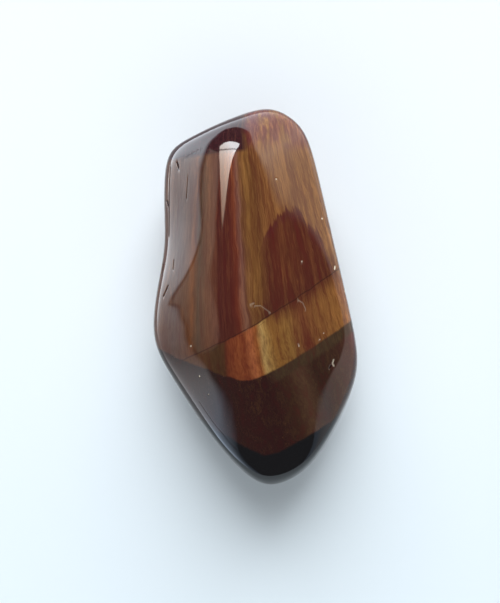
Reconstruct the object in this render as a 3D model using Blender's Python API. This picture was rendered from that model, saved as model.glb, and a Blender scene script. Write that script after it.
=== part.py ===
"""A tumbled and polished tiger's eye pebble, lying on its flattened side.

The pebble is one solid. It began as a broken piece of rough rock, and tumbling wore the corners
away. The model follows that history: each face of the broken piece has a direction and a distance
from the heart of the stone, and a rounding runs over all the edges between them. Lengths in the
tables are millimetres, and angles are degrees.
"""

import math
from typing import NamedTuple

import bmesh
import bpy
from mathutils import Vector

MM = 0.001


class Face(NamedTuple):
    """A worn face of the stone: where it looks, and how far from the heart it lies."""

    azimuth: float  # 0 looks along +X and 90 along +Y
    elevation: float  # 90 looks straight up
    distance: float


class Hollow(NamedTuple):
    """A shallow dent that tumbling left."""

    centre: tuple[float, float, float]
    radius: float
    depth: float


# The heart is the point inside the stone that the faces are measured from
HEART = Vector((0.0, 0.0, 5.0))

# A higher number leaves the edges between the faces crisper
EDGE_CRISPNESS = 18.0

# The same for the edge that runs round the stone, over and under the sides
GIRDLE_CRISPNESS = 40.0

# Everything lower than this is ground flat, and the stone rests there
REST_LEVEL = 0.15

SIDES = {
    "north_west_end": Face(113.0, 4.0, 12.5),
    "north_end": Face(86.0, -4.0, 14.55),
    "north_east_corner": Face(50.0, 2.0, 11.3),
    "east_side": Face(12.5, 4.0, 6.4),
    "east_bulge": Face(-9.0, -3.0, 8.6),
    "south_east_side": Face(-29.0, 3.0, 10.5),
    "south_east_tip": Face(-56.0, -2.0, 14.2),
    "south_tip": Face(-82.0, 4.0, 15.8),
    "south_west_end": Face(227.0, -2.0, 11.4),
    "south_west_side": Face(211.0, -3.0, 9.3),
    "west_side": Face(176.0, 3.0, 8.0),
}

TOP_AND_BOTTOM = {
    "west_flank": Face(176.0, 55.0, 6.8),
    "north_west_flank": Face(118.0, 56.0, 11.2),
    "north_flank": Face(82.0, 58.0, 11.3),
    "east_flank": Face(12.0, 52.0, 7.7),
    "south_east_flank": Face(-27.0, 52.0, 8.6),
    "south_flank": Face(-85.0, 50.0, 10.6),
    "south_west_flank": Face(213.0, 52.0, 8.1),
    "east_top": Face(5.0, 76.0, 6.05),
    "west_top": Face(185.0, 66.0, 6.3),
    "south_top": Face(-80.0, 68.0, 7.6),
    "base": Face(0.0, -90.0, 5.0),
}

# Under the stone's widest level a lower face slopes in from each side, a little nearer to the heart
UNDER_ELEVATION = -32.0
UNDER_SHARE = 0.9

HOLLOWS = {
    "waist": Hollow((-7.8, 3.2, 5.0), 3.7, 0.7),
}

# The cage is the stone's rough size, which keeps the squares of the mesh even
CAGE_HALF_SIZE = Vector((8.0, 14.7, 5.6))
CAGE_SEGMENTS = 28

STONE_COLOR = (0.16, 0.055, 0.022, 1.0)
STONE_ROUGHNESS = 0.12
STONE_IOR = 1.54


def clear_scene():
    """Takes away whatever the scene holds."""
    for obj in list(bpy.data.objects):
        bpy.data.objects.remove(obj, do_unlink=True)


def looks_along(face):
    """The direction of a face, as a unit vector."""
    azimuth = math.radians(face.azimuth)
    elevation = math.radians(face.elevation)
    level = math.cos(elevation)
    return Vector((math.cos(azimuth) * level, math.sin(azimuth) * level, math.sin(elevation)))


UNDERSIDES = [Face(face.azimuth, UNDER_ELEVATION, face.distance * UNDER_SHARE) for face in SIDES.values()]
SIDE_SLOPES = [looks_along(face) / face.distance for face in SIDES.values()]
OTHER_SLOPES = [looks_along(face) / face.distance for face in [*TOP_AND_BOTTOM.values(), *UNDERSIDES]]


def rounded(shares, crispness):
    """The largest of some shares, with a soft change from one to the next."""
    return sum(max(0.0, share) ** crispness for share in shares) ** (1.0 / crispness)


def reach(direction):
    """How far the rounded stone reaches from its heart along a unit vector."""
    side = rounded((slope.dot(direction) for slope in SIDE_SLOPES), EDGE_CRISPNESS)
    other = rounded((slope.dot(direction) for slope in OTHER_SLOPES), EDGE_CRISPNESS)
    return 1.0 / rounded((side, other), GIRDLE_CRISPNESS)


def worn_depth(point):
    """How deep the hollows are at a point of the surface."""
    return sum(
        hollow.depth * math.exp(-(point - Vector(hollow.centre)).length_squared / hollow.radius**2)
        for hollow in HOLLOWS.values()
    )


def on_stone(cube_point):
    """The point of the stone's skin that a point of the cage's unit cube becomes."""
    # The tangent spreads the cube's squares evenly over a ball
    even = Vector(math.tan(value * math.pi / 4) for value in cube_point)
    direction = Vector(a * b for a, b in zip(even.normalized(), CAGE_HALF_SIZE)).normalized()
    distance = reach(direction)
    distance -= worn_depth(HEART + direction * distance)
    point = HEART + direction * distance
    point.z = max(point.z, REST_LEVEL)
    return point


def stone_mesh():
    """The pebble's mesh in metres, with the middle of its underside at the origin."""
    shape = bmesh.new()
    bmesh.ops.create_cube(shape, size=2.0)
    bmesh.ops.subdivide_edges(shape, edges=shape.edges, cuts=CAGE_SEGMENTS - 1, use_grid_fill=True)
    for vert in shape.verts:
        vert.co = on_stone(vert.co)

    middle = Vector(
        (min(values) + max(values)) / 2
        for values in zip(*((vert.co.x, vert.co.y) for vert in shape.verts))
    )
    bmesh.ops.translate(shape, vec=(-middle.x, -middle.y, -REST_LEVEL), verts=shape.verts)
    bmesh.ops.scale(shape, vec=(MM, MM, MM), verts=shape.verts)
    bmesh.ops.recalc_face_normals(shape, faces=shape.faces)

    mesh = bpy.data.meshes.new("tigers_eye")
    shape.to_mesh(mesh)
    shape.free()
    mesh.shade_smooth()
    return mesh


def polished_stone():
    """The red-brown of the stone under its glassy polish."""
    material = bpy.data.materials.new("polished_stone")
    material.use_nodes = True
    shader = material.node_tree.nodes["Principled BSDF"]
    shader.inputs["Base Color"].default_value = STONE_COLOR
    shader.inputs["Roughness"].default_value = STONE_ROUGHNESS
    shader.inputs["Metallic"].default_value = 0.0
    shader.inputs["IOR"].default_value = STONE_IOR
    material.diffuse_color = STONE_COLOR
    return material


def main():
    """Builds the pebble in a collection of its own."""
    clear_scene()
    collection = bpy.data.collections.new("tumbled_tigers_eye")
    bpy.context.scene.collection.children.link(collection)
    mesh = stone_mesh()
    mesh.materials.append(polished_stone())
    collection.objects.link(bpy.data.objects.new("tigers_eye", mesh))


main()
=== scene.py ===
"""A tumbled and polished tiger's eye pebble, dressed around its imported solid.

The fine skin repeats the rule of the solid: worn faces at their distances from the heart of the
stone, with a rounding over the edges between them and another one where the sides meet the top and
the underside. It is worked out on a denser cage, and the small marks of wear are cut into it. The
bands of the mineral are a solid pattern, so they run through the stone and come out on every side.
Lengths are millimetres where no name says metres, and angles are degrees.
"""

import logging
import math
from dataclasses import dataclass, field
from enum import Enum
from functools import cached_property
from typing import Any, NamedTuple

import bmesh
import bpy
import numpy as np
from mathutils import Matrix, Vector


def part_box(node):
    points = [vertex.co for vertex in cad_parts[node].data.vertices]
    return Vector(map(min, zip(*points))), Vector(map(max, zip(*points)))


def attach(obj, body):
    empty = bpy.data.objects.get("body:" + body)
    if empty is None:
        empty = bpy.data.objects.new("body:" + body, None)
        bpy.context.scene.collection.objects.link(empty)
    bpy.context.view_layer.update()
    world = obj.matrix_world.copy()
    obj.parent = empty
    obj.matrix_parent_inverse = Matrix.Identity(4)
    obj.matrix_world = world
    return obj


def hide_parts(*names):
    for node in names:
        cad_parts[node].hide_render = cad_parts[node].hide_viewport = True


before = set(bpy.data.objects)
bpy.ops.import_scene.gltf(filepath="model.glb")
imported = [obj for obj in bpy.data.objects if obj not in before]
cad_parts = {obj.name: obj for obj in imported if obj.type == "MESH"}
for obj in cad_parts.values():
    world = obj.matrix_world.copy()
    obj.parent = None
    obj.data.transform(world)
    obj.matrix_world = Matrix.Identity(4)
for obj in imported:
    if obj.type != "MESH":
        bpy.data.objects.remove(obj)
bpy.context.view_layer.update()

LOG = logging.getLogger("tigers_eye")
NODE = "tigers_eye"
MM = 0.001

Colour = tuple[float, float, float, float]
Point = tuple[float, float, float]


def shade(red: float, green: float, blue: float) -> Colour:
    """A linear colour from display values.

    Args:
        red: Red, from 0 to 255.
        green: Green, from 0 to 255.
        blue: Blue, from 0 to 255.

    Returns:
        The colour as the shader takes it.
    """
    linear = [
        value / 12.92 if value <= 0.04045 else ((value + 0.055) / 1.055) ** 2.4
        for value in (red / 255, green / 255, blue / 255)
    ]
    return (*linear, 1.0)


def unit_vector(azimuth: float, elevation: float) -> Vector:
    """The unit vector that looks along an azimuth and an elevation.

    Args:
        azimuth: 0 looks along +X and 90 along +Y.
        elevation: 90 looks straight up.

    Returns:
        The direction.
    """
    level = math.cos(math.radians(elevation))
    turn = math.radians(azimuth)
    return Vector((math.cos(turn) * level, math.sin(turn) * level, math.sin(math.radians(elevation))))


class Wire:
    """A number that changes over a surface. Arithmetic on it adds Math nodes."""

    def __init__(self, bench: "Bench", socket: bpy.types.NodeSocket) -> None:
        """Wraps an output socket of the bench's tree."""
        self.bench = bench
        self.socket = socket

    def _math(self, operation: str, *values: Any, clamp: bool = False) -> "Wire":
        """A Math node over the given values, in their order."""
        settings = {"operation": operation, "use_clamp": clamp}
        node = self.bench.add("ShaderNodeMath", settings, dict(enumerate(values)))
        return Wire(self.bench, node.outputs[0])

    def __add__(self, other: Any) -> "Wire":
        """This plus the other."""
        return self._math("ADD", self, other)

    __radd__ = __add__

    def __sub__(self, other: Any) -> "Wire":
        """This minus the other."""
        return self._math("SUBTRACT", self, other)

    def __rsub__(self, other: Any) -> "Wire":
        """The other minus this."""
        return self._math("SUBTRACT", other, self)

    def __mul__(self, other: Any) -> "Wire":
        """This times the other."""
        return self._math("MULTIPLY", self, other)

    __rmul__ = __mul__

    def __truediv__(self, other: Any) -> "Wire":
        """This over the other."""
        return self._math("DIVIDE", self, other)

    def __rtruediv__(self, other: Any) -> "Wire":
        """The other over this."""
        return self._math("DIVIDE", other, self)

    def __pow__(self, other: Any) -> "Wire":
        """This to the power of the other."""
        return self._math("POWER", self, other)

    def __abs__(self) -> "Wire":
        """The size of this, without its sign."""
        return self._math("ABSOLUTE", self)

    def most(self, other: Any) -> "Wire":
        """The larger of the two."""
        return self._math("MAXIMUM", self, other)

    def melded(self, other: Any, width: float) -> "Wire":
        """The larger of the two, with a smooth change where they are less than the width apart."""
        return self._math("SMOOTH_MAX", self, other, width)

    def bearing(self, other: Any) -> "Wire":
        """The angle in degrees whose tangent is this over the other."""
        return self._math("ARCTAN2", self, other) * math.degrees(1.0)

    def elevation(self) -> "Wire":
        """The angle in degrees whose sine this is."""
        return self._math("ARCSINE", self) * math.degrees(1.0)

    def clipped(self) -> "Wire":
        """This, held between 0 and 1."""
        return self._math("ADD", self, 0.0, clamp=True)

    def rise(self, start: float, end: float) -> "Wire":
        """A smooth step over this value.

        Args:
            start: Where the step is still 0.
            end: Where it has reached 1. It may lie below the start.

        Returns:
            The step, from 0 to 1.
        """
        settings = {"interpolation_type": "SMOOTHSTEP"}
        low, high = (start, end) if start < end else (end, start)
        ends = (0.0, 1.0) if start < end else (1.0, 0.0)
        sockets = {"Value": self, "From Min": low, "From Max": high, "To Min": ends[0], "To Max": ends[1]}
        return Wire(self.bench, self.bench.add("ShaderNodeMapRange", settings, sockets).outputs[0])


class Bench:
    """Adds and joins the nodes of one tree."""

    def __init__(self, tree: bpy.types.NodeTree) -> None:
        """Starts on an empty tree."""
        self.tree = tree
        tree.nodes.clear()

    def add(self, kind: str, settings: dict[str, Any], sockets: dict[Any, Any]) -> bpy.types.Node:
        """Adds a node.

        Args:
            kind: The node's type.
            settings: What is set on the node before its sockets, a ramp's stops among them.
            sockets: A value or a link for each input, by its name or its place.

        Returns:
            The node.
        """
        node = self.tree.nodes.new(kind)
        for name, value in settings.items():
            if name == "stops":
                self._set_stops(node.color_ramp, value)
            else:
                setattr(node, name, value)
        for name, value in sockets.items():
            self.feed(node.inputs[name], value)
        return node

    def feed(self, socket: bpy.types.NodeSocket, value: Any) -> None:
        """Links a wire or a socket to an input, or sets its value."""
        source = value.socket if isinstance(value, Wire) else value
        if isinstance(source, bpy.types.NodeSocket):
            self.tree.links.new(source, socket)
        else:
            socket.default_value = source

    @staticmethod
    def _set_stops(ramp: bpy.types.ColorRamp, stops: list[tuple[float, Colour]]) -> None:
        """Gives a ramp its stops, each a place from 0 to 1 and a colour."""
        first, last = ramp.elements
        first.position, first.color = stops[0]
        last.position, last.color = stops[-1]
        for position, colour in stops[1:-1]:
            ramp.elements.new(position).color = colour

    def vector(self, operation: str, *values: Any) -> bpy.types.NodeSocket:
        """The vector that a Vector Math node gives for these values."""
        settings = {"operation": operation}
        return self.add("ShaderNodeVectorMath", settings, dict(enumerate(values))).outputs["Vector"]

    def along(self, place: bpy.types.NodeSocket, normal: Point) -> Wire:
        """How far a place lies along a normal, which need not be a unit vector."""
        sockets = {0: place, 1: normal}
        node = self.add("ShaderNodeVectorMath", {"operation": "DOT_PRODUCT"}, sockets)
        return Wire(self, node.outputs["Value"])

    def axes(self, place: bpy.types.NodeSocket) -> tuple[Wire, Wire, Wire]:
        """The three parts of a vector."""
        node = self.add("ShaderNodeSeparateXYZ", {}, {"Vector": place})
        return tuple(Wire(self, socket) for socket in node.outputs)

    def joined(self, x: Any, y: Any, z: Any) -> bpy.types.NodeSocket:
        """A vector of three parts."""
        return self.add("ShaderNodeCombineXYZ", {}, {"X": x, "Y": y, "Z": z}).outputs["Vector"]

    def noise(self, place: Any, scale: float, detail: float = 2.0, roughness: float = 0.5) -> Wire:
        """Soft random values from about 0.2 to 0.8.

        Args:
            place: The vector that the noise is read at.
            scale: How many lumps fit in one unit of that vector.
            detail: How many finer layers are added.
            roughness: How strong the finer layers are.

        Returns:
            The noise.
        """
        sockets = {"Vector": place, "Scale": scale, "Detail": detail, "Roughness": roughness}
        return Wire(self, self.add("ShaderNodeTexNoise", {}, sockets).outputs[0])

    def blend(self, share: Any, base: Any, over: Any, mode: str = "MIX") -> bpy.types.NodeSocket:
        """A mix of two colours.

        Args:
            share: How much of the second colour shows.
            base: The first colour.
            over: The second colour.
            mode: How the second goes over the first.

        Returns:
            The mixed colour.
        """
        settings = {"data_type": "RGBA", "blend_type": mode, "clamp_factor": True}
        return self.add("ShaderNodeMix", settings, {0: share, 6: base, 7: over}).outputs[2]

    def tints(self, place: Wire, stops: "Stops") -> bpy.types.NodeSocket:
        """The colour of a row of stops at a place along it."""
        span = stops.end - stops.start
        ramp = [((at - stops.start) / span, colour) for at, colour in stops.row]
        share = (place - stops.start) / span
        return self.add("ShaderNodeValToRGB", {"stops": ramp}, {"Fac": share}).outputs["Color"]


@dataclass(frozen=True)
class Stops:
    """Colours in a row, each at its place along it."""

    row: tuple[tuple[float, Colour], ...]

    @property
    def start(self) -> float:
        """The first place."""
        return self.row[0][0]

    @property
    def end(self) -> float:
        """The last place."""
        return self.row[-1][0]


@dataclass(frozen=True)
class Face:
    """A worn face of the stone: where it looks, and how far from the heart it lies."""

    azimuth: float
    elevation: float
    distance: float

    def slope(self) -> Vector:
        """The direction of the face over its distance."""
        return unit_vector(self.azimuth, self.elevation) / self.distance


@dataclass(frozen=True)
class Hollow:
    """A shallow dent that tumbling left."""

    centre: Point
    radius: float
    depth: float


SIDES = {
    "north_west_end": Face(113.0, 4.0, 12.5),
    "north_end": Face(86.0, -4.0, 14.55),
    "north_east_corner": Face(50.0, 2.0, 11.3),
    "east_side": Face(12.5, 4.0, 6.4),
    "east_bulge": Face(-9.0, -3.0, 8.6),
    "south_east_side": Face(-29.0, 3.0, 10.5),
    "south_east_tip": Face(-56.0, -2.0, 14.2),
    "south_tip": Face(-82.0, 4.0, 15.8),
    "south_west_end": Face(227.0, -2.0, 11.4),
    "south_west_side": Face(211.0, -3.0, 9.3),
    "west_side": Face(176.0, 3.0, 8.0),
}

TOP_AND_BOTTOM = {
    "west_flank": Face(176.0, 55.0, 6.8),
    "north_west_flank": Face(118.0, 56.0, 11.2),
    "north_flank": Face(82.0, 58.0, 11.3),
    "east_flank": Face(12.0, 52.0, 7.7),
    "south_east_flank": Face(-27.0, 52.0, 8.6),
    "south_flank": Face(-85.0, 50.0, 10.6),
    "south_west_flank": Face(213.0, 52.0, 8.1),
    "east_top": Face(5.0, 76.0, 6.05),
    "west_top": Face(185.0, 66.0, 6.3),
    "south_top": Face(-80.0, 68.0, 7.6),
    "base": Face(0.0, -90.0, 5.0),
}

# Under the stone's widest level a lower face slopes in from each side, a little nearer to the heart
UNDER_ELEVATION = -32.0
UNDER_SHARE = 0.9
UNDERSIDES = [Face(face.azimuth, UNDER_ELEVATION, face.distance * UNDER_SHARE) for face in SIDES.values()]

HOLLOWS = {
    "waist": Hollow((-7.8, 3.2, 5.0), 3.7, 0.7),
}


@dataclass(frozen=True)
class WornSolid:
    """The rounded solid of the stone, as a rule for points on its skin."""

    heart: Point = (0.0, 0.0, 5.0)
    edge_crispness: float = 18.0
    girdle_crispness: float = 40.0
    rest_level: float = 0.15
    cage_half_size: Point = (8.0, 14.7, 5.6)

    def skin(self, cube: np.ndarray) -> np.ndarray:
        """The points of the skin that points of the cage's unit cube become.

        Args:
            cube: Points on the faces of a cube that reaches from -1 to 1.

        Returns:
            Their places on the skin, in millimetres.
        """
        # The tangent spreads the cube's squares evenly over a ball
        even = np.tan(cube * math.pi / 4)
        even /= np.linalg.norm(even, axis=1, keepdims=True)
        return self.along(even * self.cage_half_size)

    def along(self, directions: np.ndarray) -> np.ndarray:
        """The points of the skin that lie along directions from the heart.

        Args:
            directions: Vectors of any length.

        Returns:
            Their places on the skin, in millimetres.
        """
        unit = directions / np.linalg.norm(directions, axis=1, keepdims=True)
        others = [*TOP_AND_BOTTOM.values(), *UNDERSIDES]
        groups = [self._rounded(unit, faces) for faces in (list(SIDES.values()), others)]
        reach = sum(group**self.girdle_crispness for group in groups) ** (-1.0 / self.girdle_crispness)
        points = self.heart + reach[:, None] * unit
        for hollow in HOLLOWS.values():
            away = ((points - hollow.centre) ** 2).sum(axis=1)
            reach = reach - hollow.depth * np.exp(-away / hollow.radius**2)
        points = self.heart + reach[:, None] * unit
        points[:, 2] = np.maximum(points[:, 2], self.rest_level)
        return points

    def _rounded(self, unit: np.ndarray, faces: list[Face]) -> np.ndarray:
        """The largest share of a group of faces, with a soft change from one face to the next."""
        slopes = np.array([face.slope() for face in faces])
        shares = np.maximum(0.0, unit @ slopes.T) ** self.edge_crispness
        return shares.sum(axis=1) ** (1.0 / self.edge_crispness)


class Wear(Enum):
    """How a mark looks, as the name of the attribute that carries it: a darker mark, or a pale chip or
    painted glint.
    """

    DARK_MARK = "dark_mark"
    CHIP_AND_GLINT = "chip_and_glint"


@dataclass(frozen=True)
class Mark:
    """A pit, a slit, a scratch, a chip or a painted glint, cut along a path that is laid on the skin."""

    path: tuple[Point, ...]
    width: float
    depth: float
    wear: Wear
    strength: float = 1.0

    def steps(self, length: float = 0.3) -> np.ndarray:
        """Points along the path.

        Args:
            length: How far apart the points lie at most, in millimetres.

        Returns:
            The points, near the skin.
        """
        points = [np.array(self.path[0])]
        for start, end in zip(self.path, self.path[1:]):
            run = np.array(end) - np.array(start)
            count = math.ceil(float(np.linalg.norm(run)) / length)
            points.extend(np.array(start) + run * (step + 1) / count for step in range(count))
        return np.array(points)


def distance_to_path(places: np.ndarray, path: np.ndarray) -> np.ndarray:
    """How far places lie from a path.

    Args:
        places: Points in millimetres.
        path: The corners of the path.

    Returns:
        Their distances in millimetres.
    """
    nearest = np.full(len(places), np.inf)
    for start, end in zip(path, path[1:] if len(path) > 1 else path):
        run = end - start
        share = np.clip((places - start) @ run / max(float(run @ run), 1e-9), 0.0, 1.0)
        nearest = np.minimum(nearest, np.linalg.norm(places - start - share[:, None] * run, axis=1))
    return nearest


MARKS = {
    "north_west_pit": Mark(((-6.15, 10.3, 8.4), (-6.1, 9.95, 8.5)), 0.11, 0.07, Wear.DARK_MARK),
    "west_hairline": Mark(
        ((-6.5, 9.8, 7.9), (-6.65, 6.9, 7.9), (-6.6, 4.4, 7.8)), 0.07, 0.02, Wear.DARK_MARK, 0.55
    ),
    "hairline_pit": Mark(((-6.75, 7.15, 7.7), (-6.7, 6.85, 7.8)), 0.11, 0.08, Wear.DARK_MARK),
    "west_scratch": Mark(((-5.45, 9.5, 9.2), (-5.6, 7.5, 9.15)), 0.06, 0.02, Wear.DARK_MARK, 0.4),
    "end_scratch": Mark(
        ((-5.85, 10.45, 8.65), (-4.8, 11.0, 9.3), (-4.1, 11.1, 9.65)), 0.06, 0.004, Wear.DARK_MARK, 0.3
    ),
    "waist_slit": Mark(((-6.8, 2.2, 7.4), (-6.9, 1.5, 7.4)), 0.12, 0.1, Wear.DARK_MARK),
    "waist_rim_slit": Mark(((-7.0, 1.5, 6.6), (-7.15, 0.9, 6.7)), 0.1, 0.08, Wear.DARK_MARK),
    "waist_scratch": Mark(((-6.3, 2.5, 8.3), (-6.35, 1.7, 8.3)), 0.06, 0.03, Wear.DARK_MARK, 0.5),
    "belly_scratch": Mark(((-6.6, 0.5, 8.1), (-6.9, -0.3, 7.9)), 0.07, 0.04, Wear.DARK_MARK, 0.7),
    "flank_slit": Mark(((-6.9, -4.9, 5.0), (-6.6, -5.8, 5.2)), 0.12, 0.1, Wear.DARK_MARK),
    "tip_pit": Mark(((-4.2, -9.9, 5.0), (-4.0, -10.1, 5.1)), 0.12, 0.08, Wear.DARK_MARK),
    "tip_hairline": Mark(
        ((-4.25, -8.5, 8.25), (-3.5, -9.55, 8.2), (-2.45, -10.85, 8.05), (-1.4, -12.15, 7.65)),
        0.06, 0.006, Wear.DARK_MARK, 0.45,
    ),
    "north_speck": Mark(((1.6, 8.2, 10.6),), 0.08, 0.02, Wear.CHIP_AND_GLINT),
    "east_rim_speck": Mark(((5.0, 5.3, 9.6),), 0.09, 0.03, Wear.CHIP_AND_GLINT),
    "patch_speck": Mark(((3.5, 1.95, 10.25),), 0.08, 0.02, Wear.CHIP_AND_GLINT, 0.6),
    "crack_end_speck": Mark(((5.9, 1.7, 9.4), (5.9, 1.5, 9.45)), 0.08, 0.03, Wear.CHIP_AND_GLINT),
    "west_speck": Mark(((-5.0, -4.45, 9.15),), 0.09, 0.02, Wear.CHIP_AND_GLINT, 0.7),
    "south_west_speck": Mark(((-4.35, -6.85, 9.05),), 0.08, 0.02, Wear.CHIP_AND_GLINT, 0.7),
    "tip_speck": Mark(((-3.65, -8.25, 8.95),), 0.07, 0.02, Wear.CHIP_AND_GLINT, 0.4),
    "east_chip": Mark(((6.6, 0.0, 9.0), (6.65, -0.15, 9.0)), 0.09, 0.04, Wear.CHIP_AND_GLINT),
    "bruise_arc": Mark(
        ((3.2, -1.0, 10.4), (3.55, -1.2, 10.3), (3.75, -1.65, 10.25)), 0.045, 0.01, Wear.CHIP_AND_GLINT, 0.18
    ),
    "middle_scratch": Mark(
        ((-0.35, -1.5, 11.0), (0.45, -1.55, 10.95), (1.15, -2.05, 10.85)), 0.045, 0.01, Wear.CHIP_AND_GLINT, 0.18
    ),
    "middle_bruise": Mark(((-0.35, -1.45, 11.0), (-0.1, -1.35, 11.0)), 0.09, 0.01, Wear.CHIP_AND_GLINT, 0.16),
    "flank_chip": Mark(
        ((6.0, -5.5, 9.45), (5.95, -5.8, 9.45), (6.1, -6.05, 9.4)), 0.08, 0.04, Wear.CHIP_AND_GLINT, 0.5
    ),
    "flank_pit": Mark(((5.8, -6.0, 9.45), (5.75, -6.2, 9.45)), 0.11, 0.08, Wear.DARK_MARK),
    # These three sparks are painted glints: pale specks where the gold fibres sparkle, cut and coloured
    # like tiny chips
    "gold_spark": Mark(((5.15, -3.45, 9.9),), 0.06, 0.01, Wear.CHIP_AND_GLINT, 0.7),
    "gold_spark_low": Mark(((4.85, -3.95, 9.95),), 0.06, 0.01, Wear.CHIP_AND_GLINT, 0.7),
    "band_spark": Mark(((3.25, -4.45, 10.25),), 0.06, 0.01, Wear.CHIP_AND_GLINT, 0.7),
}


@dataclass(frozen=True)
class Seam:
    """A layer boundary of the mineral, which cuts right through the stone."""

    normal: Point
    offset: float
    # How far the seam strays from its flat plane
    stray: float


HEALED_CRACK = Seam((-0.61, 1.0, 0.41), 1.55, 0.3)
DARK_SEAM = Seam((-0.61, 1.0, 0.41), -3.0, 0.25)
DARK_SEAM_WEST = Seam((0.3, 1.0, 0.4), -3.45, 0.4)
BLACK_SEAM = Seam((-0.61, 1.0, 0.41), -10.1, 0.4)
BLACK_SEAM_WEST = Seam((0.6, 1.0, 0.2), -10.6, 0.4)


class Grain(NamedTuple):
    """The layers and fibres of the stone at each place of it."""

    place: bpy.types.NodeSocket
    x: Wire
    y: Wire
    z: Wire
    # Which layer runs through a place, as its distance across the stone in millimetres
    layer: Wire
    # How a layer strays from a ruled line, about -0.3 to 0.3
    sway: Wire
    fibre: bpy.types.NodeSocket
    # The fine and the coarse fibres, lighter above 0 and darker below it
    threads: Wire
    strands: Wire


class Zones(NamedTuple):
    """The colour at each place, and how much of each zone shows there."""

    colour: bpy.types.NodeSocket
    capped: Wire
    patched: Wire
    dark: Wire
    black: Wire


@dataclass(frozen=True)
class TigersEyeFinish:
    """Silky fibres in bands of gold, red-brown and black, under a glassy polish."""

    name: str = "banded_tigers_eye"
    fan_centre: tuple[float, float] = (-3.15, 36.2)
    fan_radius: float = 36.0
    layer_tilt: float = 0.35
    layer_level: float = 10.3
    upper: Stops = Stops((
        (-12.0, shade(105, 66, 38)),
        (-8.0, shade(90, 58, 40)),
        (-6.6, shade(84, 60, 50)),
        (-5.6, shade(88, 56, 38)),
        (-5.1, shade(96, 54, 28)),
        (-4.5, shade(76, 54, 40)),
        (-3.7, shade(98, 60, 40)),
        (-2.95, shade(90, 50, 36)),
        (-2.65, shade(72, 31, 25)),
        (-1.6, shade(80, 34, 25)),
        (-1.1, shade(104, 46, 30)),
        (-0.7, shade(118, 78, 64)),
        (-0.4, shade(104, 64, 40)),
        (0.1, shade(122, 82, 41)),
        (0.7, shade(110, 71, 36)),
        (1.1, shade(90, 48, 27)),
        (1.8, shade(102, 46, 27)),
        (3.0, shade(110, 58, 31)),
        (4.3, shade(96, 42, 26)),
        (5.4, shade(104, 54, 32)),
        (6.6, shade(118, 72, 44)),
        (12.0, shade(108, 64, 38)),
    ))
    gold: Stops = Stops((
        (-12.0, shade(96, 60, 34)),
        (-4.2, shade(84, 54, 34)),
        (-3.0, shade(72, 48, 28)),
        (-2.45, shade(76, 46, 27)),
        (-2.2, shade(108, 50, 29)),
        (-1.5, shade(134, 68, 37)),
        (-0.9, shade(124, 58, 32)),
        (-0.5, shade(170, 96, 58)),
        (-0.1, shade(150, 84, 40)),
        (0.25, shade(186, 150, 90)),
        (0.6, shade(166, 126, 68)),
        (1.0, shade(140, 94, 44)),
        (2.0, shade(136, 96, 48)),
        (3.0, shade(104, 56, 34)),
        (4.0, shade(122, 78, 41)),
        (5.5, shade(136, 90, 46)),
        (6.8, shade(148, 88, 62)),
        (12.0, shade(140, 80, 52)),
    ))
    dark: Stops = Stops((
        (-12.0, shade(48, 30, 24)),
        (-4.0, shade(46, 34, 30)),
        (-2.0, shade(50, 24, 21)),
        (0.0, shade(47, 20, 18)),
        (1.2, shade(58, 34, 23)),
        (2.1, shade(82, 56, 40)),
        (3.1, shade(52, 32, 22)),
        (4.5, shade(60, 36, 26)),
        (5.4, shade(70, 38, 31)),
        (6.4, shade(112, 46, 42)),
        (12.0, shade(104, 44, 42)),
    ))
    black: Colour = shade(17, 17, 19)
    olive: Colour = shade(66, 49, 33)
    pale_gold: Colour = shade(136, 94, 52)
    # The maroon patch's highest point, and how its edge falls away to the sides and how ragged it is
    patch_middle: float = 2.8
    patch_top: float = 5.85
    patch_fall: float = 0.47
    patch_raggedness: float = 2.6
    patch: Colour = shade(74, 34, 25)
    patch_rim: Colour = shade(80, 28, 36)
    mottle: Colour = shade(96, 36, 50)
    end_cap: Colour = shade(54, 25, 29)
    # Partly the fibres' own gold, partly a painted sheen where the silky fibres shine
    gold_fibre_and_sheen: Colour = shade(170, 122, 64)
    red_fibre: Colour = shade(88, 26, 22)
    crack: Colour = shade(48, 24, 18)
    # The colour of the darker pits, slits, hairlines and scratches
    dark_mark: Colour = shade(40, 24, 20)
    # The colour of chips and specks, and of the painted glints in the gold band
    chip_and_glint_tint: Colour = shade(226, 214, 190)
    # The half width of the crack's line, and how far past it the fainter second line runs
    crack_width: float = 0.085
    second_crack: float = 0.28
    second_width: float = 0.06
    # How light the whole stone is
    tone: float = 0.8
    bump_depth: float = 0.02
    coat_roughness: float = 0.03
    stone_ior: float = 1.54

    def material(self) -> bpy.types.Material:
        """The finish as a material.

        Returns:
            The material.
        """
        made = bpy.data.materials.new(self.name)
        made.use_nodes = True
        bench = Bench(made.node_tree)
        grain = self._grain(bench)
        past_crack = self._past(bench, grain, HEALED_CRACK)
        zones = self._zones(bench, grain, past_crack)

        # Fibres are lighter and darker than what they run through, and gold or red; the lighter gold
        # streaks are partly the stone's own colour and partly a painted sheen, the silky shine of the
        # fibres
        vivid = (1.0 - zones.dark * 0.5) * (1.0 - zones.capped * 0.7)
        lit = (1.0 + (grain.threads * 1.1 + grain.strands * 0.8) * vivid) * self.tone
        colour = bench.blend(1.0, zones.colour, bench.joined(lit, lit, lit), "MULTIPLY")
        glint = (grain.strands * 2.6 + grain.threads * 1.6 + 0.05).clipped()
        gold_and_sheen = glint * vivid * grain.layer.rise(-3.5, 1.5) * (1.0 - zones.patched * 0.6)
        colour = bench.blend(gold_and_sheen * 0.35, colour, self.gold_fibre_and_sheen)
        blush = (0.05 - grain.strands * 2.6 - grain.threads * 1.2).clipped()
        reddened = blush * vivid * (grain.layer.rise(-0.5, 1.5) * 0.3 + 0.45)
        colour = bench.blend(reddened, colour, self.red_fibre)
        colour = bench.blend(zones.black, colour, self.black)

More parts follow.
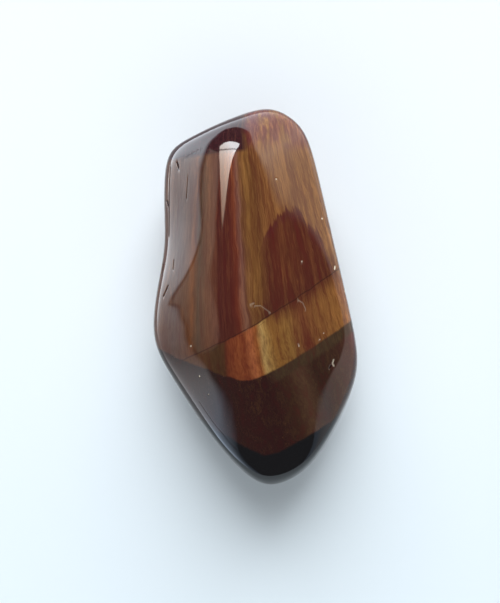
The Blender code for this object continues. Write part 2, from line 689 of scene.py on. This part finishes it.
        broken = bench.noise(grain.place, 0.9, 2.0)
        line = (1.0 - abs(past_crack) / self.crack_width).clipped() * broken.rise(0.25, 0.45) * 0.9
        second = (1.0 - abs(past_crack - self.second_crack) / self.second_width).clipped()
        second = second * broken.rise(0.5, 0.6) * 0.5
        colour = bench.blend(line.most(second), colour, self.crack)
        # Pits, slits, hairlines and scratches are coloured darker
        dark_mark = Wire(bench, self._attribute(bench, Wear.DARK_MARK))
        # Chips and specks are paler, and so are the sparks, which are painted glints
        chip_and_glint = Wire(bench, self._attribute(bench, Wear.CHIP_AND_GLINT))
        colour = bench.blend(dark_mark, colour, self.dark_mark)
        colour = bench.blend(chip_and_glint, colour, self.chip_and_glint_tint)

        marked = dark_mark.most(chip_and_glint)
        silk = glint * 0.35 + 0.12 * (1.0 - zones.dark)
        relief = grain.threads + bench.noise(grain.fibre, 18.0, 2.0) * 0.5
        sockets = {"Strength": 0.35, "Distance": self.bump_depth * MM, "Height": relief}
        bump = bench.add("ShaderNodeBump", {}, sockets)
        shader = bench.add("ShaderNodeBsdfPrincipled", {}, {
            "Base Color": colour,
            "Metallic": silk * (1.0 - zones.black) * (1.0 - marked),
            "Roughness": 0.42 - glint * 0.1 + marked * 0.3,
            "IOR": self.stone_ior,
            "Specular IOR Level": 0.0,
            "Normal": bump.outputs["Normal"],
            "Coat Weight": 1.0 - marked * 0.85,
            "Coat Roughness": self.coat_roughness,
            "Coat IOR": self.stone_ior,
        })
        bench.add("ShaderNodeOutputMaterial", {}, {"Surface": shader.outputs["BSDF"]})
        return made

    def _grain(self, bench: Bench) -> Grain:
        """The layers, which fan out from a far centre, and the fibres that run along them.

        Args:
            bench: The tree's bench.

        Returns:
            The grain.
        """
        where = bench.add("ShaderNodeTexCoord", {}, {}).outputs["Object"]
        sockets = {"Vector": where, "Scale": (1 / MM, 1 / MM, 1 / MM)}
        place = bench.add("ShaderNodeMapping", {"vector_type": "POINT"}, sockets).outputs["Vector"]
        x, y, z = bench.axes(place)

        # A slow sway keeps the layers from being ruled lines
        slow_sway = bench.noise(place, 0.22) - 0.5
        sway = bench.noise(bench.joined(x, y * 0.5, z), 1.1) - 0.5
        ripple = bench.noise(bench.joined(x, y * 0.6, z), 3.5, 1.0) - 0.5
        fan_x, fan_y = self.fan_centre
        layer = (x - fan_x) * self.fan_radius / (fan_y - y) + fan_x
        layer = layer + (z - self.layer_level) * self.layer_tilt + slow_sway * 0.5 + sway * 0.3

        fibre = bench.joined(layer + ripple * 0.14, y * 0.05, z * 0.8)
        threads = bench.noise(fibre, 12.0, 2.0, 0.65) - 0.5
        strands = bench.noise(fibre, 3.2, 3.0, 0.55) - 0.5
        return Grain(place, x, y, z, layer, sway, fibre, threads, strands)

    def _zones(self, bench: Bench, grain: Grain, past_crack: Wire) -> Zones:
        """The zones from the blunt end to the tip: brown and gold, gold, dark brown and black.

        Args:
            bench: The tree's bench.
            grain: The stone's grain.
            past_crack: How far a place lies past the crack.

        Returns:
            The zones.
        """
        layer = grain.layer
        upper, capped, patched = self._upper_zone(bench, grain, past_crack)
        # The colours change at once across the crack in the west, and slowly in the east
        slow = layer.rise(0.2, 1.8)
        gold_share = past_crack.rise(-0.05, 0.2) * (1.0 - slow) + past_crack.rise(-0.4, 1.8) * slow
        colour = bench.blend(gold_share, upper, bench.tints(layer, self.gold))

        past_dark = self._past(bench, grain, DARK_SEAM)
        dark_share = past_dark.melded(self._past(bench, grain, DARK_SEAM_WEST), 2.4).rise(-0.1, 0.12)
        olive_share = past_dark.rise(1.25, 0.75) * layer.rise(0.0, 0.9)
        dark = bench.blend(olive_share, bench.tints(layer, self.dark), self.olive)
        colour = bench.blend(dark_share, colour, dark)

        past_black = self._past(bench, grain, BLACK_SEAM)
        black_share = past_black.melded(self._past(bench, grain, BLACK_SEAM_WEST), 2.0).rise(-0.12, 0.15)
        return Zones(colour, capped, patched, dark_share, black_share)

    def _upper_zone(
        self, bench: Bench, grain: Grain, past_crack: Wire
    ) -> tuple[bpy.types.NodeSocket, Wire, Wire]:
        """The zone north of the crack: brown in the west, pale gold down to a ragged patch in the east.

        Args:
            bench: The tree's bench.
            grain: The stone's grain.
            past_crack: How far a place lies past the crack.

        Returns:
            The zone's colour, how much of the dark cap at the blunt end shows, and how much of the patch.
        """
        x, y, z, layer = grain.x, grain.y, grain.z, grain.layer
        ragged = bench.noise(bench.joined(layer, y * 0.08, z * 0.3), 2.2, 2.0, 0.6) - 0.5
        off_middle = x - self.patch_middle
        patch_edge = self.patch_top - off_middle * off_middle * self.patch_fall
        patch_depth = patch_edge + ragged * self.patch_raggedness - y
        under = patch_depth.rise(-0.2, 0.2)
        east = x.rise(0.2, 1.1)
        patched = under * east

        colour = bench.tints(layer, self.upper)
        colour = bench.blend((1.0 - under) * layer.rise(0.6, 1.8) * 0.55, colour, self.pale_gold)
        colour = bench.blend(patched * 0.6, colour, self.patch)
        dusk = past_crack.rise(-2.5, -0.2) * layer.rise(-0.4, 0.4)
        colour = bench.blend(dusk * 0.5, colour, self.patch)
        rim = (1.0 - abs(patch_depth - 0.35) / 0.6).clipped()
        colour = bench.blend(rim * east * 0.5, colour, self.patch_rim)

        blots = bench.noise(bench.joined(layer, y * 0.35, z), 1.1, 2.0).rise(0.38, 0.52)
        mottled = blots * y.rise(10.1, 11.4) * layer.rise(-0.4, 0.6)
        colour = bench.blend(mottled * 0.75, colour, self.mottle)
        capped = y.rise(10.1, 10.5) * layer.rise(1.0, 0.0) * z.rise(5.0, 7.5)
        return bench.blend(capped, colour, self.end_cap), capped, patched

    @staticmethod
    def _past(bench: Bench, grain: Grain, seam: Seam) -> Wire:
        """How far a place lies past a seam, on its south side.

        Args:
            bench: The tree's bench.
            grain: The stone's grain.
            seam: The seam.

        Returns:
            The depth past the seam.
        """
        return seam.offset - bench.along(grain.place, seam.normal) + grain.sway * seam.stray

    @staticmethod
    def _attribute(bench: Bench, wear: Wear) -> bpy.types.NodeSocket:
        """The strength of one kind of wear."""
        settings = {"attribute_type": "GEOMETRY", "attribute_name": wear.value}
        return bench.add("ShaderNodeAttribute", settings, {}).outputs["Fac"]


@dataclass
class Pebble:
    """The stone itself: one tumbled piece, with its small marks of wear and a few painted glints."""

    solid: WornSolid = field(default_factory=WornSolid)
    segments: int = 96
    refinements: int = 2
    mark_margin: float = 0.18
    finish: TigersEyeFinish = field(default_factory=TigersEyeFinish)

    def build(self, name: str) -> bpy.types.Object:
        """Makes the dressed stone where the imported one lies.

        Args:
            name: The object's name.

        Returns:
            The finished object.
        """
        shape = bmesh.new()
        bmesh.ops.create_cube(shape, size=2.0)
        bmesh.ops.subdivide_edges(shape, edges=shape.edges, cuts=self.segments - 1, use_grid_fill=True)
        for _ in range(self.refinements):
            self._refine(shape)
        bmesh.ops.recalc_face_normals(shape, faces=shape.faces)
        mesh = bpy.data.meshes.new(name)
        shape.to_mesh(mesh)
        shape.free()

        cube = np.empty(len(mesh.vertices) * 3, np.float32)
        mesh.vertices.foreach_get("co", cube)
        places = self._fitted(self.solid.skin(cube.reshape(-1, 3).astype(float)))
        mesh.vertices.foreach_set("co", (places * MM).astype(np.float32).ravel())
        mesh.update()
        self._wear(mesh, places)
        mesh.shade_smooth()
        mesh.materials.append(self.finish.material())
        stone = bpy.data.objects.new(name, mesh)
        bpy.context.scene.collection.objects.link(stone)
        return stone

    def _fitted(self, places: np.ndarray) -> np.ndarray:
        """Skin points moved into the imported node's box.

        Args:
            places: Points of the skin, in millimetres.

        Returns:
            The same points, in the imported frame.
        """
        low, high = (np.array(corner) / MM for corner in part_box(NODE))
        corners = self._corners
        scale = (high - low) / (corners[1] - corners[0])
        return low + (places - corners[0]) * scale

    def _laid(self, mark: Mark) -> np.ndarray:
        """A mark's path, moved straight out or in until it lies on the skin."""
        low = np.array(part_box(NODE)[0]) / MM
        start = self._corners[0]
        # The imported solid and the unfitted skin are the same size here, so only the shift counts
        unfitted = mark.steps() - low + start
        return self._fitted(self.solid.along(unfitted - self.solid.heart))

    @cached_property
    def _corners(self) -> tuple[np.ndarray, np.ndarray]:
        """The lowest and highest corner of the unfitted skin."""
        turns = np.radians(np.arange(0.0, 360.0, 1.0))
        rises = np.radians(np.arange(-89.5, 90.0, 1.0))
        turn, rise = (grid.ravel() for grid in np.meshgrid(turns, rises))
        ball = np.stack([np.cos(turn) * np.cos(rise), np.sin(turn) * np.cos(rise), np.sin(rise)], axis=1)
        skin = self.solid.along(ball)
        return skin.min(axis=0), skin.max(axis=0)

    @cached_property
    def _paths(self) -> dict[str, np.ndarray]:
        """The path of every mark, on the skin."""
        return {name: self._laid(mark) for name, mark in MARKS.items()}

    def _refine(self, shape: bmesh.types.BMesh) -> None:
        """Halves the edges of the cage near the marks."""
        shape.verts.ensure_lookup_table()
        shape.verts.index_update()
        places = self._fitted(self.solid.skin(np.array([vert.co for vert in shape.verts], float)))
        near = np.zeros(len(places), bool)
        for name, mark in MARKS.items():
            near |= distance_to_path(places, self._paths[name]) < mark.width + self.mark_margin
        edges = [edge for edge in shape.edges if all(near[vert.index] for vert in edge.verts)]
        bmesh.ops.subdivide_edges(shape, edges=edges, cuts=1, use_grid_fill=True)

    def _wear(self, mesh: bpy.types.Mesh, places: np.ndarray) -> None:
        """Cuts the marks into a mesh, and notes their strength as attributes.

        Args:
            mesh: The skin, in metres.
            places: The same points in millimetres.
        """
        normals = np.array([entry.vector for entry in mesh.vertex_normals], float)
        depths = np.zeros(len(places))
        for wear in Wear:
            strengths = np.zeros(len(places))
            for name, mark in MARKS.items():
                if mark.wear is not wear:
                    continue
                share = np.clip(1.0 - distance_to_path(places, self._paths[name]) / mark.width, 0.0, 1.0)
                bowl = share * share * (3.0 - 2.0 * share)
                depths = np.maximum(depths, bowl * mark.depth)
                strengths = np.maximum(strengths, np.clip(bowl * 1.6, 0.0, 1.0) * mark.strength)
            attribute = mesh.attributes.new(wear.value, "FLOAT", "POINT")
            attribute.data.foreach_set("value", strengths.astype(np.float32))
        marked = (places - normals * depths[:, None]) * MM
        mesh.vertices.foreach_set("co", marked.astype(np.float32).ravel())
        mesh.update()


@dataclass(frozen=True)
class Pane:
    """A bright window in the studio's dome, with straight edges and a thin bar across it."""

    # Azimuth and angle from the zenith of each corner, in order round the pane
    corners: tuple[tuple[float, float], ...]
    colour: Colour
    strength: float
    softness: float
    # Along the run between these two directions the light falls to the faded share and colour
    fade_run: tuple[tuple[float, float], tuple[float, float]]
    faded: float
    faded_colour: Colour
    fade_power: float
    # Two directions on the bar, the sines of the angles where its dark and its shade end, and its light
    bar: tuple[tuple[float, float], tuple[float, float]]
    bar_reach: tuple[float, float]
    bar_light: float

    @staticmethod
    def direction(corner: tuple[float, float]) -> Vector:
        """The direction of a corner."""
        azimuth, from_zenith = corner
        return unit_vector(azimuth, 90.0 - from_zenith)

    def edges(self) -> list[Vector]:
        """The normals of the edges' planes, which point into the pane.

        Returns:
            One normal for each edge.
        """
        points = [self.direction(corner) for corner in self.corners]
        middle = sum(points, Vector((0.0, 0.0, 0.0)))
        normals = [a.cross(b).normalized() for a, b in zip(points, points[1:] + points[:1])]
        return [normal if normal.dot(middle) > 0.0 else -normal for normal in normals]


WINDOW = Pane(
    corners=(
        (152.8, 61.2), (158.2, 61.0), (162.9, 59.5), (165.1, 57.6), (166.6, 56.0), (167.4, 54.3),
        (152.5, 43.4), (124.0, 33.5), (116.0, 34.4), (123.5, 38.6), (131.5, 44.4), (141.2, 53.2),
        (147.1, 57.9),
    ),
    colour=shade(250, 252, 255),
    strength=15.5,
    softness=0.008,
    fade_run=((143.0, 53.0), (167.8, 54.3)),
    faded=0.03,
    faded_colour=shade(255, 228, 200),
    fade_power=0.5,
    bar=((155.3, 61.1), (131.0, 34.65)),
    bar_reach=(0.002, 0.011),
    bar_light=0.25,
)


class Stretch(NamedTuple):
    """The wall of the studio at one azimuth."""

    azimuth: float
    # How far the wall's upper edge lies from the zenith
    edge: float
    softness: float
    # The light along the upper edge, as a share of the light at the foot
    top: float
    foot: float
    colour: Colour


# The walls' ramps hold shares of these
MOST_EDGE = 120.0
MOST_SOFTNESS = 20.0
MOST_LIGHT = 14.0

# The walls' rows run from half a turn before this azimuth to half a turn past it
MIDDLE_AZIMUTH = 95.0

SNOW = shade(250, 250, 255)
FROST = shade(234, 246, 255)
CREAM = shade(255, 240, 222)
ROSE = shade(255, 236, 228)
SKY_BLUE = shade(214, 232, 255)

# Both walls start and end at the azimuth that the south tip hides
OUTER_WALL = (
    Stretch(-85.0, 118.0, 6.0, 0.5, 0.3, SKY_BLUE),
    Stretch(-68.0, 116.0, 6.0, 0.5, 0.4, SKY_BLUE),
    Stretch(-63.5, 52.0, 6.0, 0.9, 0.6, SKY_BLUE),
    Stretch(-58.5, 48.3, 6.0, 0.9, 0.7, SKY_BLUE),
    Stretch(-50.0, 46.5, 6.0, 0.9, 0.8, SNOW),
    Stretch(-40.0, 49.0, 5.0, 0.9, 1.0, SNOW),
    Stretch(-26.0, 53.6, 4.0, 0.9, 1.1, ROSE),
    Stretch(-16.0, 57.0, 3.0, 0.9, 1.5, ROSE),
    Stretch(-7.0, 54.0, 3.0, 0.8, 1.5, ROSE),
    Stretch(3.6, 49.4, 3.0, 0.5, 2.2, ROSE),
    Stretch(22.8, 43.0, 2.5, 0.34, 3.6, CREAM),
    Stretch(25.6, 38.0, 2.5, 0.34, 3.8, CREAM),
    Stretch(28.5, 32.7, 2.5, 0.36, 4.0, CREAM),
    Stretch(38.0, 31.0, 2.5, 0.6, 5.0, CREAM),
    Stretch(54.0, 30.0, 2.5, 0.62, 3.8, CREAM),
    Stretch(69.0, 33.0, 2.5, 0.58, 4.2, CREAM),
    Stretch(96.0, 49.7, 2.5, 0.5, 5.6, FROST),
    Stretch(114.0, 63.0, 2.5, 0.38, 8.8, FROST),
    Stretch(128.0, 67.4, 2.5, 0.34, 11.6, FROST),
    Stretch(146.0, 65.9, 2.5, 0.36, 12.6, FROST),
    Stretch(158.0, 66.8, 1.5, 0.4, 13.2, FROST),
    Stretch(163.0, 67.6, 1.5, 0.28, 11.2, FROST),
    Stretch(165.6, 67.0, 1.5, 0.22, 11.4, FROST),
    Stretch(167.0, 66.4, 1.8, 0.2, 10.8, FROST),
    Stretch(168.8, 62.5, 2.5, 0.18, 9.6, FROST),
    Stretch(174.8, 58.7, 2.0, 0.24, 4.6, SNOW),
    Stretch(187.5, 58.7, 3.0, 0.42, 1.6, SNOW),
    Stretch(202.5, 57.8, 6.0, 0.38, 4.2, SNOW),
    Stretch(223.0, 50.5, 12.0, 0.27, 7.6, SKY_BLUE),
    Stretch(245.4, 45.3, 14.0, 0.2, 5.6, SKY_BLUE),
    Stretch(260.7, 47.9, 12.0, 0.3, 1.2, SKY_BLUE),
    Stretch(275.0, 118.0, 6.0, 0.5, 0.3, SKY_BLUE),
)
INNER_WALL = (
    Stretch(-85.0, 118.0, 1.5, 1.0, 0.0, CREAM),
    Stretch(154.5, 118.0, 1.5, 1.0, 0.0, CREAM),
    Stretch(156.8, 61.2, 1.5, 1.0, 1.1, CREAM),
    Stretch(164.8, 59.5, 1.2, 1.0, 1.1, CREAM),
    Stretch(167.2, 59.3, 1.2, 1.0, 0.9, CREAM),
    Stretch(169.2, 54.5, 1.2, 1.0, 0.75, CREAM),
    Stretch(172.4, 51.5, 1.2, 1.0, 0.65, CREAM),
    Stretch(179.1, 48.8, 1.5, 1.0, 0.55, CREAM),
    Stretch(186.0, 50.0, 4.0, 1.0, 0.4, CREAM),
    Stretch(196.0, 118.0, 4.0, 1.0, 0.0, CREAM),
    Stretch(275.0, 118.0, 1.5, 1.0, 0.0, CREAM),
)


@dataclass(frozen=True)
class Sky:
    """The light that falls on the stone and the floor: bright in the north, with a soft southern fill."""

    colour: Colour = shade(250, 252, 255)
    dim: float = 0.13
    # Half the width of the bright part, as a share of how far it lies to the north
    bright_spread: float = 0.7
    bright_softness: tuple[float, float] = (-0.05, 0.1)
    bright_light: float = 4.6
    fill_light: float = 1.4


@dataclass
class Studio:
    """The pale floor, the dome of soft light and the camera."""

    sky: Sky = field(default_factory=Sky)
    ceiling: Colour = shade(96, 94, 96)
    plain: Colour = shade(236, 241, 244)
    # How far above the outer wall's edge the inner wall starts to show, and shows in full
    gap_width: tuple[float, float] = (0.5, 1.6)
    # How late the walls' light rises from their upper edge to their foot
    wall_fall: float = 2.1
    # The side of the floor, in metres
    floor_size: float = 4.0
    # The near colour is painted shade: darker and bluer than the far one, as if less light fell there
    floor_near_painted_shade: Colour = shade(222, 234, 240)
    floor_far: Colour = shade(236, 242, 246)
    # Where along Y the painted shade of the near side starts to fade and has become the far colour, in
    # metres
    floor_shade_change: tuple[float, float] = (-0.03, 0.03)
    camera_elevation: float = 80.0
    camera_distance: float = 170.0
    aim: Point = (0.0, 0.0, 4.6)
    aim_pixel: tuple[float, float] = (255.0, 300.2)
    frame_size: tuple[int, int] = (500, 603)
    pixels_per_mm: float = 12.95
    sensor: float = 36.0

    def build(self) -> None:
        """Makes the floor, the dome and the camera."""
        self._floor()
        self._dome()
        self._camera()

    def _floor(self) -> None:
        """A wide sheet that the stone rests on, with painted shade that darkens it towards the near side.
        """
        shape = bmesh.new()
        bmesh.ops.create_grid(shape, x_segments=1, y_segments=1, size=self.floor_size / 2)
        mesh = bpy.data.meshes.new("floor")
        shape.to_mesh(mesh)
        shape.free()
        floor = bpy.data.objects.new("floor", mesh)
        bpy.context.scene.collection.objects.link(floor)
        material = bpy.data.materials.new("pale_sheet")
        material.use_nodes = True
        bench = Bench(material.node_tree)
        where = bench.add("ShaderNodeTexCoord", {}, {}).outputs["Object"]
        _, y, _ = bench.axes(where)
        # Painted shade: the sheet darkens and turns bluer towards the near side
        colour = bench.blend(y.rise(*self.floor_shade_change), self.floor_near_painted_shade, self.floor_far)
        sockets = {"Base Color": colour, "Roughness": 0.9, "Specular IOR Level": 0.0}
        shader = bench.add("ShaderNodeBsdfPrincipled", {}, sockets)
        bench.add("ShaderNodeOutputMaterial", {}, {"Surface": shader.outputs["BSDF"]})
        mesh.materials.append(material)

    def _dome(self) -> None:
        """A world whose walls and window show in the polish, under a sky that lights the scene."""
        world = bpy.data.worlds.new("studio_dome")
        bpy.context.scene.world = world
        world.use_nodes = True
        bench = Bench(world.node_tree)
        toward = bench.add("ShaderNodeTexCoord", {}, {}).outputs["Generated"]
        walls = self._walls(bench, toward)
        window = self._window(bench, toward)
        shown = bench.vector("MAXIMUM", bench.vector("MAXIMUM", self.ceiling[:3], walls), window)
        rays = bench.add("ShaderNodeLightPath", {}, {}).outputs
        light = bench.blend(rays["Is Glossy Ray"], self._skylight(bench, toward), shown)
        # The camera itself sees a plain pale ground
        light = bench.blend(rays["Is Camera Ray"], light, self.plain)
        ground = bench.add("ShaderNodeBackground", {}, {"Color": light, "Strength": 1.0})
        bench.add("ShaderNodeOutputWorld", {}, {"Surface": ground.outputs["Background"]})

    def _walls(self, bench: Bench, toward: bpy.types.NodeSocket) -> bpy.types.NodeSocket:
        """The light of the two walls, with a dark gap where the inner one meets the outer one.

        Args:
            bench: The world's bench.
            toward: The direction that is looked along.

        Returns:
            The light as a colour.
        """
        ahead = bench.along(toward, tuple(unit_vector(MIDDLE_AZIMUTH, 0.0)))
        aside = bench.along(toward, tuple(unit_vector(MIDDLE_AZIMUTH + 90.0, 0.0)))
        azimuth = aside.bearing(ahead) + MIDDLE_AZIMUTH
        zenith = 90.0 - bench.axes(toward)[2].elevation()
        outer, outer_edge = self._wall(bench, azimuth, zenith, OUTER_WALL)
        inner, _ = self._wall(bench, azimuth, zenith, INNER_WALL)
        gap = (outer_edge - zenith).rise(*self.gap_width)
        inner = bench.vector("MULTIPLY", inner, bench.joined(gap, gap, gap))
        return bench.vector("MAXIMUM", outer, inner)

    def _wall(
        self, bench: Bench, azimuth: Wire, zenith: Wire, stretches: tuple[Stretch, ...]
    ) -> tuple[bpy.types.NodeSocket, Wire]:
        """One wall's light.

        Args:
            bench: The world's bench.
            azimuth: The azimuth that is looked along.
            zenith: How far that direction lies from the zenith.
            stretches: The wall at its azimuths.

        Returns:
            The light as a colour, and the angle of the wall's upper edge.
        """
        shape = Stops(tuple(
            (spot.azimuth, (spot.edge / MOST_EDGE, spot.softness / MOST_SOFTNESS, spot.top, 1.0))
            for spot in stretches
        ))
        tint = Stops(tuple(
            (spot.azimuth, (*(part * spot.foot / MOST_LIGHT for part in spot.colour[:3]), 1.0))
            for spot in stretches
        ))
        edge_share, softness_share, top = bench.axes(bench.tints(azimuth, shape))
        edge = edge_share * MOST_EDGE
        past_edge = zenith - edge
        mask = (past_edge / (softness_share * MOST_SOFTNESS) + 0.5).clipped()
        # The same soft step as a wire's rise, whose ends can't change from place to place
        mask = mask * mask * (3.0 - 2.0 * mask)
        down = (past_edge / (90.0 - edge).most(1.0)).clipped() ** self.wall_fall
        level = mask * (top + (1.0 - top) * down) * MOST_LIGHT
        return bench.vector("MULTIPLY", bench.tints(azimuth, tint), bench.joined(level, level, level)), edge

    @staticmethod
    def _window(bench: Bench, toward: bpy.types.NodeSocket) -> bpy.types.NodeSocket:
        """The light of the window, with its bar, as a colour."""
        mask = 1.0
        for normal in WINDOW.edges():
            mask = bench.along(toward, tuple(normal)).rise(0.0, WINDOW.softness) * mask
        near, far = (WINDOW.direction(end) for end in WINDOW.fade_run)
        run = (near - far) / (near - far).length_squared
        share = (bench.along(toward, tuple(run)) - run.dot(far)).clipped()
        level = mask * (WINDOW.faded + share**WINDOW.fade_power * (1.0 - WINDOW.faded)) * WINDOW.strength
        one, other = (WINDOW.direction(end) for end in WINDOW.bar)
        off_bar = abs(bench.along(toward, tuple(one.cross(other).normalized())))
        level = level * (off_bar.rise(*WINDOW.bar_reach) * (1.0 - WINDOW.bar_light) + WINDOW.bar_light)
        tint = bench.blend(share, WINDOW.faded_colour, WINDOW.colour)
        return bench.vector("MULTIPLY", bench.joined(level, level, level), tint)

    def _skylight(self, bench: Bench, toward: bpy.types.NodeSocket) -> bpy.types.NodeSocket:
        """The light of the sky as a colour."""
        sky = self.sky
        x, y, _ = bench.axes(toward)
        bright = (y * sky.bright_spread - abs(x)).rise(*sky.bright_softness)
        fill = y.rise(-0.1, -1.0)
        level = bright * sky.bright_light + fill * sky.fill_light + sky.dim
        return bench.vector("MULTIPLY", bench.joined(level, level, level), sky.colour[:3])

    def _camera(self) -> None:
        """A camera that looks down on the stone, as far to the side as the stone lies in the frame."""
        data = bpy.data.cameras.new("camera")
        camera = bpy.data.objects.new("camera", data)
        bpy.context.scene.collection.objects.link(camera)
        bpy.context.scene.camera = camera
        back = -unit_vector(90.0, -self.camera_elevation)
        turn = (-back).to_track_quat("-Z", "Y")
        width, height = self.frame_size
        data.sensor_width = self.sensor
        data.lens = self.sensor * self.pixels_per_mm * self.camera_distance / height
        data.clip_start = 0.001
        data.clip_end = 10.0
        across = (width / 2 - self.aim_pixel[0]) / self.pixels_per_mm
        upward = (self.aim_pixel[1] - height / 2) / self.pixels_per_mm
        slide = turn @ Vector((across, upward, 0.0))
        camera.rotation_mode = "QUATERNION"
        camera.rotation_quaternion = turn
        camera.location = (Vector(self.aim) + slide + back * self.camera_distance) * MM


def main() -> None:
    """Builds the stone and its studio, and ties the stone to its body."""
    logging.basicConfig(level=logging.INFO, format="%(message)s")
    bpy.context.scene.view_settings.view_transform = "Standard"
    stone = Pebble().build("tumbled_tigers_eye")
    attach(stone, "root")
    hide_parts(NODE)
    LOG.info("%s: %d faces", stone.name, len(stone.data.polygons))
    Studio().build()
    LOG.info("studio: walls of %d stretches", len(OUTER_WALL) + len(INNER_WALL))


if __name__ == "__main__":
    main()
